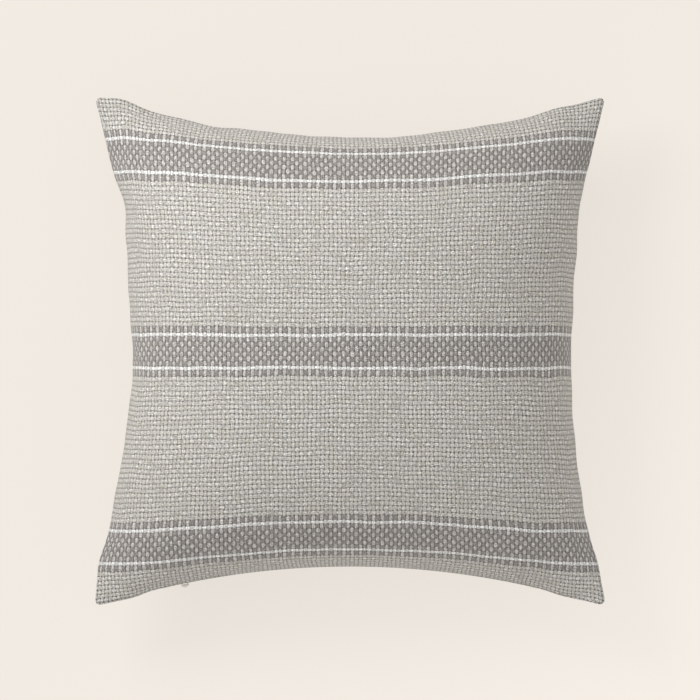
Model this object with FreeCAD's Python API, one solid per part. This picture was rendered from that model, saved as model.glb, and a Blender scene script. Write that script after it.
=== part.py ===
"""Throw pillow: a striped woven cover with a concealed zipper, round a filled insert.

The pillow lies on its back. +Z is up through its crown, +X runs along its stripes and +Y
points to its top edge. The origin is on the surface that it rests on, under its centre.
All sizes are in millimetres.
"""

import FreeCAD
import Part
import math
import os

Vector = FreeCAD.Vector

# ---- the filled cover ----
cover_width = 445.0  # corner tip to corner tip along X
cover_height = 444.0  # corner tip to corner tip along Y
side_bow = 31.0  # how far the left and right seams bow in at their middles
end_bow = 35.0  # how far the top and bottom seams bow in at their middles
fullness = 0.42  # how steeply the sides stand at the seams: 0.5 is upright
roundness = 0.6  # the crown's section: 1 is a parabola, 0 has a broad flat top
front_crown = 86.0  # the front's rise above the seam plane
back_crown = 84.0  # the back's drop below the seam plane, before it is flattened
seam_level = 76.0  # the seam plane above the surface the pillow rests on

# ---- cloth and seams ----
cover_cloth = 0.9
cover_side_wall = 1.2  # the cover's wall measured level at the middle of a seam
cover_corner_wall = 6.0  # the folded cloth that fills each corner tip
cover_allowance = 10.0  # cloth turned in past the seam
corner_allowance = 24.0  # the same at the corners, where two allowances cross
casing_cloth = 0.4
casing_side_wall = 0.7
casing_corner_wall = 4.0
casing_allowance = 5.0
layer_gap = 0.3  # air between two layers at the crown
insert_side_gap = 12.0  # the cover's seam to the insert's seam at the middle of a side
insert_corner_gap = 27.0  # the same at the corners
fill_side_gap = 7.0  # the insert's seam to its fill
fill_corner_gap = 14.0

# ---- zipper ----
zip_length = 300.0  # the row of coil teeth, along the seam
slit = 2.2  # the gap between the two folded edges of the opening
lip = 2.7  # depth of the folded edge in front of the zipper
hem_cloth = 0.7  # the hem that runs in beside the tape
tape_cloth = 0.4
tape_run = 8.0  # the sloping part of each tape
tape_edge = 1.3  # seam plane to the tape's inner edge
tape_margin = 8.0  # tape past each end of the coil
tape_slope = 45.0
tooth_pitch = 1.6
tooth_width = 0.62
tooth_depth = 1.2
tooth_reach = 0.45  # how far a tooth crosses the seam plane
coil_half_height = 2.3
coil_core = 0.5
play = 0.3  # clearance round the slider
slider_length = 9.0
slider_half_width = 3.2
slider_plate = 0.8
slider_flange = 0.65
divider_half_width = 1.0
divider_length = 3.0
bridge_post = 1.2
bridge_half_span = 2.6  # slider's centre to the middle of each post
bridge_bar_radius = 0.65
bridge_stand_off = 2.0  # the bar's centre in front of the seam
pull_length = 22.0
pull_width = 6.0
pull_thickness = 1.1
pull_neck_width = 2.6
pull_neck_length = 5.0
pull_knuckle_radius = 1.4
pull_clearance = 0.1
pull_hole_radius = 1.2
stop_length = 2.2

# ---- thread and labels ----
thread_radius = 0.2
stitch_pitch = 5.0
stitch_length = 4.0
closing_pitch = 3.0
closing_length = 110.0  # the stretch of the insert's seam that is closed last
bartack_pitch = 0.9
bartack_count = 7
label_width = 30.0
label_depth = 32.0
label_cloth = 0.35

PARTS = "parts"


# ---- shapes shared by every layer ----
def ordinates(power, degree=4):
    """The Bernstein ordinates of u**power for u from -1 to 1."""
    values = []
    for high in range(degree + 1):
        ends = [1.0] * high + [-1.0] * (degree - high)
        sums = [1.0] + [0.0] * power
        for end in ends:
            for order in range(power, 0, -1):
                sums[order] += end * sums[order - 1]
        values.append(sums[power] / math.comb(degree, power))
    return values


def bezier_patch(x_terms, y_terms, z_terms):
    """A patch whose coordinates are sums of factor * u**m * v**n, given as (factor, m, n)."""
    patch = Part.BezierSurface()
    patch.increase(4, 4)
    for i in range(5):
        for j in range(5):
            point = [
                sum(f * ordinates(m)[i] * ordinates(n)[j] for f, m, n in terms)
                for terms in (x_terms, y_terms, z_terms)
            ]
            patch.setPole(i + 1, j + 1, Vector(*point))
    return patch.toShape()


def product(left, right):
    """The product of two sums of (factor, m, n) terms."""
    return [(f * g, m + p, n + q) for f, m, n in left for g, p, q in right]


class Layer:
    """One closed surface nested in the cover's: its outline, its crowns and its rim."""

    def __init__(self, side_gap, corner_gap, crown_gap, rim):
        self.half_x = cover_width / 2 - corner_gap
        self.half_y = cover_height / 2 - corner_gap
        self.bow_x = side_bow - corner_gap + side_gap
        self.bow_y = end_bow - corner_gap + side_gap
        self.crown_gap = crown_gap
        self.rim = rim

    def dome(self, start, rise):
        """The crowned face, from height start at its outline to start + rise at its middle."""
        middle_x = self.half_x - self.bow_x
        middle_y = self.half_y - self.bow_y
        x_terms = [(middle_x, 1, 0), (self.bow_x, 1, 2)]
        y_terms = [(middle_y, 0, 1), (self.bow_y, 2, 1)]
        bulge_x = [(fullness * middle_x, 1, 0), (-fullness * middle_x, 3, 0)]
        bulge_y = [(fullness * middle_y, 0, 1), (-fullness * middle_y, 0, 3)]
        x_terms += product(bulge_x, [(1, 0, 0), (-1, 0, 4)])
        y_terms += product(bulge_y, [(1, 0, 0), (-1, 4, 0)])
        crown_u = [(1, 0, 0), (-roundness, 2, 0), (roundness - 1, 4, 0)]
        crown_v = [(rise, 0, 0), (-roundness * rise, 0, 2), ((roundness - 1) * rise, 0, 4)]
        z_terms = [(start, 0, 0)] + product(crown_u, crown_v)
        return bezier_patch(x_terms, y_terms, z_terms)

    def half(self, base, up):
        """The closed solid from the level plane at base to the dome; up is 1 or -1."""
        crown = front_crown if up > 0 else back_crown
        start = base + up * self.rim
        top = seam_level + up * (crown - self.crown_gap)
        dome = self.dome(start, top - start)
        walls = [edge.extrude(Vector(0, 0, -up * self.rim)) for edge in dome.Edges]
        floor_edges = [edge.translated(Vector(0, 0, -up * self.rim)) for edge in dome.Edges]
        floor = Part.Face(Part.Wire(Part.__sortEdges__(floor_edges)))
        return closed_solid([dome, floor] + walls)

    def slab(self, low, high):
        """The outline as a level plate between two heights."""
        edges = [edge.copy() for edge in self.dome(low, front_crown).Edges]
        face = Part.Face(Part.Wire(Part.__sortEdges__(edges)))
        return face.extrude(Vector(0, 0, high - low))

    def edge_point(self, side, along):
        """A point on the outline and its direction; along runs from -1 to 1 on each side."""
        bend = 1 - along * along
        if side in ("left", "right"):
            sign = 1 if side == "right" else -1
            point = Vector(sign * (self.half_x - self.bow_x * bend), self.half_y * along, 0)
            heading = Vector(sign * 2 * self.bow_x * along, self.half_y, 0)
        else:
            sign = 1 if side == "top" else -1
            point = Vector(self.half_x * along, sign * (self.half_y - self.bow_y * bend), 0)
            heading = Vector(self.half_x, sign * 2 * self.bow_y * along, 0)
        return point, heading.normalize()


def closed_solid(faces):
    shell = Part.makeShell(faces)
    shell.sewShape()
    solid = Part.Solid(shell)
    if solid.Volume < 0:
        solid.reverse()
    return solid


def above(shape, level):
    """The part of a shape over a level plane."""
    size = 2 * (cover_width + cover_height)
    box = Part.makeBox(size, size, size, Vector(-size / 2, -size / 2, level))
    return shape.common(box)


def biggest(shape):
    return max(shape.Solids, key=lambda solid: solid.Volume)


# ---- the layers, from the outside in ----
cover_skin = Layer(0.0, 0.0, 0.0, cover_cloth)
cover_hollow = Layer(cover_side_wall, cover_corner_wall, cover_cloth, layer_gap)
cover_ring = Layer(cover_allowance, corner_allowance, cover_cloth, 0.0)
casing_skin = Layer(insert_side_gap, insert_corner_gap, cover_cloth + layer_gap, casing_cloth)
casing_hollow = Layer(
    insert_side_gap + casing_side_wall,
    insert_corner_gap + casing_corner_wall,
    cover_cloth + layer_gap + casing_cloth,
    layer_gap,
)
casing_ring = Layer(
    insert_side_gap + casing_allowance,
    insert_corner_gap + 2 * casing_allowance,
    cover_cloth,
    0.0,
)
fill_skin = Layer(
    insert_side_gap + fill_side_gap,
    insert_corner_gap + fill_corner_gap,
    cover_cloth + casing_cloth + 2 * layer_gap,
    layer_gap,
)

# ---- the bottom seam as an arc: the zipper is laid out along it ----
seam_radius = cover_skin.half_x**2 / (2 * end_bow)
seam_middle = cover_skin.half_y - end_bow
arc_centre = Vector(0, -seam_middle - seam_radius, 0)

slider_front = lip + play  # depths from the seam, inward
channel_front = slider_front + slider_plate
coil_front = channel_front + play
coil_back = coil_front + tooth_depth
tape_back = coil_back + tape_cloth
slider_back_plate = tape_back + play
slider_back = slider_back_plate + slider_plate
pocket_half_height = slider_half_width + play
zip_half_angle = zip_length / 2 / (seam_radius + coil_front)
tape_half_angle = zip_half_angle + tape_margin / seam_radius
opening_half_angle = tape_half_angle + play / seam_radius


def arc_point(angle, depth, height):
    """A point at an angle along the bottom seam, a depth in from it, and a height off its plane."""
    reach = seam_radius + depth
    return Vector(
        arc_centre.x + reach * math.sin(angle),
        arc_centre.y + reach * math.cos(angle),
        seam_level + height,
    )


def swept(section, start, end):
    """A section of (depth, height) points, carried along the bottom seam's arc."""
    points = [arc_point(end, depth, height) for depth, height in section]
    face = Part.Face(Part.makePolygon(points + [points[0]]))
    solid = face.revolve(arc_centre, Vector(0, 0, 1), math.degrees(end - start))
    if solid.Volume < 0:
        solid.reverse()
    return solid


def rectangle(depth_0, depth_1, height_0, height_1):
    return [
        (depth_0, height_0),
        (depth_1, height_0),
        (depth_1, height_1),
        (depth_0, height_1),
    ]


def mirrored(section, up):
    return [(depth, up * height) for depth, height in section]


def slope_step(run):
    """Level and upward parts of a run along the tape's slope."""
    angle = math.radians(tape_slope)
    return run * math.cos(angle), run * math.sin(angle)


def tape_section():
    """One tape: beside the coil it stands in the zipper's plane, then it slopes in."""
    level, rise = slope_step(tape_run)
    turn = pocket_half_height + play
    thick_level, thick_rise = slope_step(tape_cloth)
    return [
        (coil_back, tape_edge),
        (coil_back, turn + thick_rise),
        (coil_back + level, turn + thick_rise + rise),
        (coil_back + level + thick_level, turn + rise),
        (tape_back, turn),
        (tape_back, tape_edge),
    ]


def hem_section():
    """The folded edge of the opening and the hem that follows the tape's outer face."""
    level, rise = slope_step(tape_run)
    hem_level, hem_rise = slope_step(hem_cloth)
    face = coil_back - play / 2
    turn = pocket_half_height + play + tape_cloth + play / 2
    return [
        (-lip, slit / 2),
        (lip, slit / 2),
        (lip, pocket_half_height),
        (face, pocket_half_height),
        (face, turn),
        (face + level, turn + rise),
        (face + level - hem_level, turn + rise + hem_rise),
        (face - hem_level, turn + hem_rise),
        (-lip, turn + hem_rise),
    ]


def pocket_section():
    """The space behind the hem that the tape and the slider need."""
    level, rise = slope_step(tape_run + play)
    face = coil_back - play / 2
    turn = pocket_half_height + play + tape_cloth + play / 2
    deep = corner_allowance
    return [
        (lip, -1.0),
        (lip, pocket_half_height),
        (face, pocket_half_height),
        (face, turn),
        (face + level, turn + rise),
        (deep, turn + rise),
        (deep, -1.0),
    ]


# ---- cover ----
def cover_panel(up):
    """One half of the cover, with its allowances turned in and the zipper's opening hemmed."""
    ends = (-opening_half_angle, opening_half_angle)
    hollow = cover_hollow.half(seam_level + up * cover_cloth, up)
    outside = cover_skin.half(seam_level, up)
    if up < 0:
        outside = above(outside, 0.0)
        hollow = above(hollow, cover_cloth)
    hollow = hollow.cut(swept(mirrored(hem_section(), up), *ends))
    low, high = sorted((seam_level - up, seam_level + up * (cover_cloth + layer_gap / 2)))
    panel = outside.cut(hollow)
    panel = panel.cut(cover_ring.slab(low, high))
    panel = panel.cut(swept(mirrored(pocket_section(), up), *ends))
    panel = panel.cut(swept(mirrored(rectangle(-lip, 2 * lip, -1.0, slit / 2), up), *ends))
    return biggest(panel)


def stitch(middle, heading, length=stitch_length):
    start = middle - heading * (length / 2)
    return Part.makeCylinder(thread_radius, length, start, heading)


def seam_stitches(layer, side, height, pitch, reach, skip=0.0):
    """A row of stitches beside a layer's outline, leaving out the middle where skip says."""
    half = layer.half_y if side in ("left", "right") else layer.half_x
    count = int(2 * half * reach / pitch)
    row = []
    for step in range(count + 1):
        along = reach * (2 * step / count - 1)
        if abs(along) * half >= skip:
            point, heading = layer.edge_point(side, along)
            row.append(stitch(point + Vector(0, 0, height), heading, 0.8 * pitch))
    return row


def cover_seam_stitches():
    """The lockstitch that joins the allowances: a top thread and a bobbin thread."""
    line = Layer(cover_side_wall + 0.8, cover_corner_wall + 4.0, 0.0, 0.0)
    opening = seam_radius * math.sin(opening_half_angle) + stitch_pitch
    rows = []
    for up in (1, -1):
        height = seam_level + up * (cover_cloth + thread_radius + 0.05)
        for side in ("left", "right", "top"):
            rows += seam_stitches(line, side, height, stitch_pitch, 0.93)
        rows += seam_stitches(line, "bottom", height, stitch_pitch, 0.93, opening)
    return Part.makeCompound(rows)


# ---- zipper ----
def zipper_tape(up):
    return swept(mirrored(tape_section(), up), -tape_half_angle, tape_half_angle)


def slider_angle():
    """Where the closed slider rests, at the left end of the coil."""
    return -zip_half_angle + slider_length / 2 / seam_radius


def zipper_coil(up):
    """One nylon coil: its core on the tape and the teeth that cross the seam plane."""
    step = tooth_pitch / (seam_radius + coil_front)
    half_tooth = tooth_width / 2 / (seam_radius + coil_front)
    first = slider_angle() + play / seam_radius
    last = zip_half_angle - stop_length / seam_radius
    root = coil_half_height - coil_core
    core = mirrored(rectangle(coil_front, coil_back, root, coil_half_height), up)
    tooth = mirrored(rectangle(coil_front, coil_back, -tooth_reach, root), up)
    shift = 0.0 if up > 0 else step / 2
    pieces = [swept(core, first, last)]
    angle = first + half_tooth + shift
    while angle + half_tooth < last:
        pieces.append(swept(tooth, angle - half_tooth, angle + half_tooth))
        angle += step
    return Part.makeCompound(pieces)


def zipper_top_stops():
    """A crimped stop on each tape, just past the closed slider."""
    start = -zip_half_angle - (stop_length + play) / seam_radius
    end = -zip_half_angle - play / seam_radius
    section = rectangle(coil_front, coil_back, tape_edge, coil_half_height + coil_core)
    return Part.makeCompound([swept(mirrored(section, up), start, end) for up in (1, -1)])


def zipper_bottom_stop():
    """The clamp across both tapes at the open end."""
    height = coil_half_height + coil_core
    start = zip_half_angle - (stop_length - play) / seam_radius
    clamp = swept(rectangle(coil_front, coil_back, -height, height), start, zip_half_angle)
    return clamp


def zipper_stitches(up):
    """The row that holds a tape to its hem, on the tape's inner face."""
    half_level, half_rise = slope_step(tape_run / 2)
    off_level, off_rise = slope_step(thread_radius + 0.05)
    depth = tape_back + half_level + off_level
    height = up * (pocket_half_height + play + half_rise - off_rise)
    reach = seam_radius + depth
    count = int(2 * tape_half_angle * reach / stitch_pitch) - 1
    row = []
    for step in range(count + 1):
        angle = (step - count / 2) * stitch_pitch / reach
        heading = Vector(math.cos(angle), -math.sin(angle), 0)
        row.append(stitch(arc_point(angle, depth, height), heading))
    return Part.makeCompound(row)


def zipper_bartacks():
    """Close zigzag stitches across the slit's two ends, outside the seam."""
    row = []
    for end in (-1, 1):
        for step in range(bartack_count):
            angle = end * (opening_half_angle + (step + 1) * bartack_pitch / seam_radius)
            middle = arc_point(angle, -thread_radius - 0.05, 0)
            row.append(stitch(middle, Vector(0, 0, 1), 2 * cover_cloth))
    return Part.makeCompound(row)


def block(along_0, along_1, depth_0, depth_1, half_height):
    """A box in the slider's own frame: along the seam, into the pillow, and up."""
    corner = Vector(along_0, depth_0, -half_height)
    return Part.makeBox(along_1 - along_0, depth_1 - depth_0, 2 * half_height, corner)


def at_slider(shape):
    """Carries a shape from the slider's own frame to its closed place on the seam."""
    placed = shape.copy()
    placed.rotate(Vector(0, 0, 0), Vector(0, 0, 1), -math.degrees(slider_angle()))
    placed.translate(arc_point(slider_angle(), 0, 0))
    return placed


def zipper_slider():
    """Two plates on a divider, flanges round the coil, and the bridge for the pull."""
    half = slider_length / 2
    front = block(-half, half, slider_front, channel_front, slider_half_width)
    corners = [edge for edge in front.Edges if abs(edge.tangentAt(edge.FirstParameter).y) > 0.9]
    front = front.makeFillet(slider_half_width / 3, corners)
    back = block(-half, half, slider_back_plate, slider_back, slider_half_width)
    corners = [edge for edge in back.Edges if abs(edge.tangentAt(edge.FirstParameter).y) > 0.9]
    back = back.makeFillet(slider_half_width / 3, corners)
    divider = block(
        -half, -half + divider_length, channel_front, slider_back_plate, divider_half_width
    )
    body = front.fuse([back, divider])
    flange_back = coil_back - play
    for up in (1, -1):
        low, high = sorted((up * (slider_half_width - slider_flange), up * slider_half_width))
        corner = Vector(-half + divider_length / 2, channel_front - slider_plate / 2, low)
        size = (slider_length - divider_length, flange_back - corner.y, high - low)
        body = body.fuse(Part.makeBox(*size, corner))
    bar_depth = -bridge_stand_off
    for end in (-1, 1):
        middle = end * bridge_half_span
        post = block(
            middle - bridge_post / 2,
            middle + bridge_post / 2,
            bar_depth,
            channel_front,
            bridge_bar_radius,
        )
        body = body.fuse(post)
    reach = bridge_half_span + bridge_post / 2
    bar = Part.makeCylinder(
        bridge_bar_radius, 2 * reach, Vector(-reach, bar_depth, 0), Vector(1, 0, 0)
    )
    return at_slider(biggest(body.fuse(bar).removeSplitter()))


def zipper_pull():
    """The tab that hangs on the bridge by a knuckle, with a small hole near its end."""
    bar_depth = -bridge_stand_off
    neck = pull_neck_width / 2
    knuckle = Part.makeCylinder(
        pull_knuckle_radius, 2 * neck, Vector(-neck, bar_depth, 0), Vector(1, 0, 0)
    )
    shoulder = pull_neck_length + pull_width / 2
    end = pull_length - pull_width / 2
    half = pull_width / 2
    outline = [
        (-neck, 0),
        (neck, 0),
        (neck, -pull_neck_length),
        (half, -shoulder),
        (half, -end),
        (-half, -end),
        (-half, -shoulder),
        (-neck, -pull_neck_length),
    ]
    back = bar_depth - pull_thickness / 2
    points = [Vector(along, back, height) for along, height in outline]
    plate = Part.Face(Part.makePolygon(points + [points[0]]))
    plate = plate.extrude(Vector(0, pull_thickness, 0))
    tip = Part.makeCylinder(half, pull_thickness, Vector(0, back, -end), Vector(0, 1, 0))
    hole = Part.makeCylinder(
        pull_hole_radius, 2 * pull_width, Vector(0, -pull_width, -end), Vector(0, 1, 0)
    )
    bore = Part.makeCylinder(
        bridge_bar_radius + pull_clearance,
        2 * pull_width,
        Vector(-pull_width, bar_depth, 0),
        Vector(1, 0, 0),
    )
    pull = knuckle.fuse([plate, tip]).cut(bore).cut(hole)
    return at_slider(biggest(pull.removeSplitter()))


# ---- insert ----
def insert_casing(up):
    """One half of the insert's casing, with its allowance turned in."""
    outside = casing_skin.half(seam_level, up)
    hollow = casing_hollow.half(seam_level + up * casing_cloth, up)
    if up < 0:
        floor = cover_cloth + layer_gap
        outside = above(outside, floor)
        hollow = above(hollow, floor + casing_cloth)
    low, high = sorted((seam_level - up, seam_level + up * (casing_cloth + layer_gap / 2)))
    return biggest(outside.cut(hollow).cut(casing_ring.slab(low, high)))


def insert_fill():
    """The fibre fill, clear of the casing's allowances."""
    floor = cover_cloth + casing_cloth + 2 * layer_gap
    top = fill_skin.half(seam_level, 1)
    bottom = above(fill_skin.half(seam_level, -1), floor)
    return biggest(top.fuse(bottom).removeSplitter())


def insert_seam_stitches():
    """The stitches on three sides of the insert and beside the stretch that is closed last."""
    line = Layer(
        insert_side_gap + casing_side_wall + 0.8,
        insert_corner_gap + casing_corner_wall + 4.0,
        0.0,
        0.0,
    )
    height = seam_level + casing_cloth + thread_radius + 0.05
    rows = []
    for side in ("left", "right", "top"):
        rows += seam_stitches(line, side, height, stitch_pitch, 0.9)
    skip = closing_length / 2 + stitch_pitch
    rows += seam_stitches(line, "bottom", height, stitch_pitch, 0.9, skip)
    return Part.makeCompound(rows)


def insert_closing_stitches():
    """The outside stitches that close the filled insert, along the middle of its bottom seam."""
    line = Layer(insert_side_gap - thread_radius - 0.1, insert_corner_gap, 0.0, 0.0)
    count = int(closing_length / closing_pitch)
    row = []
    for step in range(count + 1):
        along = (step / count - 0.5) * closing_length / line.half_x
        point, heading = line.edge_point("bottom", along)
        row.append(stitch(point + Vector(0, 0, seam_level), heading, 0.8 * closing_pitch))
    return Part.makeCompound(row)


# ---- labels ----
def label(side_gap, corner_gap, crown_gap, side, middle):
    """A blank cloth tag that comes out of a side seam and lies on the layer below it."""
    outer = Layer(side_gap - label_cloth, corner_gap - label_cloth, crown_gap - 0.06, layer_gap)
    inner = Layer(side_gap, corner_gap, crown_gap - 0.02, layer_gap)
    outer_half = outer.half(seam_level + cover_cloth + layer_gap, 1)
    inner_half = inner.half(seam_level + cover_cloth + layer_gap / 2, 1)
    sheet = outer_half.cut(inner_half)
    point, _ = outer.edge_point(side, middle / outer.half_y)
    sign = 1 if side == "right" else -1
    near, far = sorted((point.x + sign, point.x - sign * label_depth))
    low = Vector(near, middle - label_width / 2, 0)
    box = Part.makeBox(far - near, label_width, 2 * seam_level + front_crown, low)
    return biggest(sheet.common(box))


def cover_care_label():
    gap = insert_side_gap - 2 * label_cloth
    corner = insert_corner_gap - 2 * label_cloth
    return label(gap, corner, cover_cloth + layer_gap - 0.1, "left", -90.0)


def insert_care_label():
    gap = insert_side_gap - label_cloth / 2
    corner = insert_corner_gap - label_cloth / 2
    return label(gap, corner, cover_cloth + layer_gap - 0.05, "right", 60.0)


NODES = {
    "cover_front_panel": lambda: cover_panel(1),
    "cover_back_panel": lambda: cover_panel(-1),
    "cover_seam_stitches": cover_seam_stitches,
    "cover_care_label": cover_care_label,
    "zipper_front_tape": lambda: zipper_tape(1),
    "zipper_back_tape": lambda: zipper_tape(-1),
    "zipper_front_coil": lambda: zipper_coil(1),
    "zipper_back_coil": lambda: zipper_coil(-1),
    "zipper_slider": zipper_slider,
    "zipper_pull": zipper_pull,
    "zipper_top_stops": zipper_top_stops,
    "zipper_bottom_stop": zipper_bottom_stop,
    "zipper_front_stitches": lambda: zipper_stitches(1),
    "zipper_back_stitches": lambda: zipper_stitches(-1),
    "zipper_bartacks": zipper_bartacks,
    "insert_front_casing": lambda: insert_casing(1),
    "insert_back_casing": lambda: insert_casing(-1),
    "insert_fill": insert_fill,
    "insert_seam_stitches": insert_seam_stitches,
    "insert_closing_stitches": insert_closing_stitches,
    "insert_care_label": insert_care_label,
}


def main():
    os.makedirs(PARTS, exist_ok=True)
    for name, build in NODES.items():
        shape = build()
        if not shape.isValid():
            raise SystemExit(f"{name} is not a valid shape")
        shape.exportStep(os.path.join(PARTS, name + ".step"))
        solids = len(shape.Solids)
        print(f"{name}: {solids} solids, {shape.Volume / 1000:.2f} cm3, {shape.BoundBox}")
    print(f"seam radius {seam_radius:.2f}, arc centre y {arc_centre.y:.2f}")
    travel = 2 * zip_half_angle - (slider_length + stop_length + play) / seam_radius
    print(f"slider at {math.degrees(slider_angle()):.3f} degrees, travel {math.degrees(travel):.3f}")
    place = arc_point(slider_angle(), -bridge_stand_off, 0)
    print(f"pull axis through {place}")


main()
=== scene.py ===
import bpy
import bmesh
import math
from mathutils import Matrix, Vector, noise


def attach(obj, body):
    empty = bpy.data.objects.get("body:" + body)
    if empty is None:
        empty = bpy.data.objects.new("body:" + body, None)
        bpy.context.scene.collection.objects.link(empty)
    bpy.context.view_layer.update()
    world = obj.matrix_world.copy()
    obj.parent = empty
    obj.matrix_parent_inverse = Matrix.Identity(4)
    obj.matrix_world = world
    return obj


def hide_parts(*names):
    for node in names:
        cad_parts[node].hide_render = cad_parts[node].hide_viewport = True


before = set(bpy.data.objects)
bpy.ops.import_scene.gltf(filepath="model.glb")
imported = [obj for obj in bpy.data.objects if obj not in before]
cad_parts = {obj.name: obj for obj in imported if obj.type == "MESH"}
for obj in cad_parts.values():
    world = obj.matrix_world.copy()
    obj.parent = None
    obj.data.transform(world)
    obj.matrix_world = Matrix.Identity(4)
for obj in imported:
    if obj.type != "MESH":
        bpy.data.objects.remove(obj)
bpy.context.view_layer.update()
view = bpy.context.scene
noGaps = (0.0, 0.0, 0.0, 0.0)


def linkMesh(name, bm, material, slot):
    mesh = bpy.data.meshes.new(name)
    bm.to_mesh(mesh)
    bm.free()
    mesh.shade_smooth()
    obj = bpy.data.objects.new(name, mesh)
    bpy.context.collection.objects.link(obj)
    if material:
        mesh.materials.append(material)
    return obj


def smoothStep(low, high, value):
    t = min(1.0, max(0.0, (value - low) / (high - low)))
    return t * t * (3 - 2 * t)


def mix(a, b, t):
    return a + (b - a) * t


class Graph:
    # a node tree with short ways to add and join nodes
    def __init__(self, tree):
        self.tree = tree

    def put(self, socket, value):
        if isinstance(value, bpy.types.NodeSocket):
            self.tree.links.new(value, socket)
        elif isinstance(value, tuple) and len(value) == 3 and socket.type == "RGBA":
            socket.default_value = (*value, 1.0)
        else:
            socket.default_value = value

    def add(self, kind, out=0, settings=None, **inputs):
        node = self.tree.nodes.new(kind)
        for key, value in (settings or {}).items():
            setattr(node, key, value)
        for key, value in inputs.items():
            self.put(node.inputs[key.replace("_", " ")], value)
        return node.outputs[out]

    def math(self, operation, a, b=None, clamp=False):
        node = self.tree.nodes.new("ShaderNodeMath")
        node.operation = operation
        node.use_clamp = clamp
        self.put(node.inputs[0], a)
        if b is not None:
            self.put(node.inputs[1], b)
        return node.outputs[0]

    def ramp(self, value, fromLow, fromHigh, toLow=0.0, toHigh=1.0, smooth=False):
        node = self.tree.nodes.new("ShaderNodeMapRange")
        node.interpolation_type = "SMOOTHSTEP" if smooth else "LINEAR"
        self.put(node.inputs["Value"], value)
        limits = {"From Min": fromLow, "From Max": fromHigh, "To Min": toLow, "To Max": toHigh}
        for key, number in limits.items():
            self.put(node.inputs[key], number)
        return node.outputs["Result"]

    def blend(self, factor, a, b, kind="MIX"):
        node = self.tree.nodes.new("ShaderNodeMix")
        node.data_type = "RGBA"
        node.blend_type = kind
        self.put(node.inputs["Factor"], factor)
        self.put(node.inputs["A"], a)
        self.put(node.inputs["B"], b)
        return node.outputs["Result"]

    def point(self, x, y, z=0.0):
        return self.add("ShaderNodeCombineXYZ", X=x, Y=y, Z=z)

    def split(self, vector):
        node = self.tree.nodes.new("ShaderNodeSeparateXYZ")
        self.put(node.inputs[0], vector)
        return node.outputs

    def shift(self, vector, by):
        node = self.tree.nodes.new("ShaderNodeVectorMath")
        self.put(node.inputs[0], vector)
        self.put(node.inputs[1], by)
        return node.outputs[0]

    def centred(self, value, span=1.0):
        # noise from 0 to 1, moved to swing about zero by half the span either way
        return self.math("MULTIPLY", self.math("SUBTRACT", value, 0.5), span)

    def objectPlace(self):
        return self.tree.nodes.new("ShaderNodeTexCoord").outputs["Object"]

    def noise(self, vector, scale, detail=2.0, roughness=0.5):
        values = {"Scale": scale, "Detail": detail, "Roughness": roughness}
        return self.add("ShaderNodeTexNoise", Vector=vector, **values)

    def speckle(self, x, y):
        settings = {"noise_dimensions": "2D"}
        return self.add("ShaderNodeTexWhiteNoise", settings=settings, Vector=self.point(x, y))


def newGroup(name, inputs, outputs):
    tree = bpy.data.node_groups.new(name, "ShaderNodeTree")
    for label, kind, value in inputs:
        socket = tree.interface.new_socket(name=label, in_out="INPUT", socket_type=kind)
        if value is not None:
            socket.default_value = value
    for label, kind in outputs:
        tree.interface.new_socket(name=label, in_out="OUTPUT", socket_type=kind)
    graph = Graph(tree)
    return graph, tree.nodes.new("NodeGroupInput").outputs, tree.nodes.new("NodeGroupOutput").inputs


def placeGroup(graph, group, **inputs):
    node = graph.tree.nodes.new("ShaderNodeGroup")
    node.node_tree = group
    for key, value in inputs.items():
        graph.put(node.inputs[key.replace("_", " ")], value)
    return node.outputs


def newMaterial(name, roughness=0.8, metallic=0.0, sheen=0.0):
    material = bpy.data.materials.new(name)
    material.use_nodes = True
    tree = material.node_tree
    shader = tree.nodes["Principled BSDF"]
    shader.inputs["Roughness"].default_value = roughness
    shader.inputs["Metallic"].default_value = metallic
    shader.inputs["Sheen Weight"].default_value = sheen
    shader.inputs["Sheen Roughness"].default_value = 0.6
    return material, Graph(tree), shader.inputs


def addBump(graph, shader, height, strength, distance):
    bump = graph.add("ShaderNodeBump", Height=height, Strength=strength, Distance=distance)
    graph.put(shader["Normal"], bump)


floatSocket, colourSocket, vectorSocket = "NodeSocketFloat", "NodeSocketColor", "NodeSocketVector"


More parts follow.
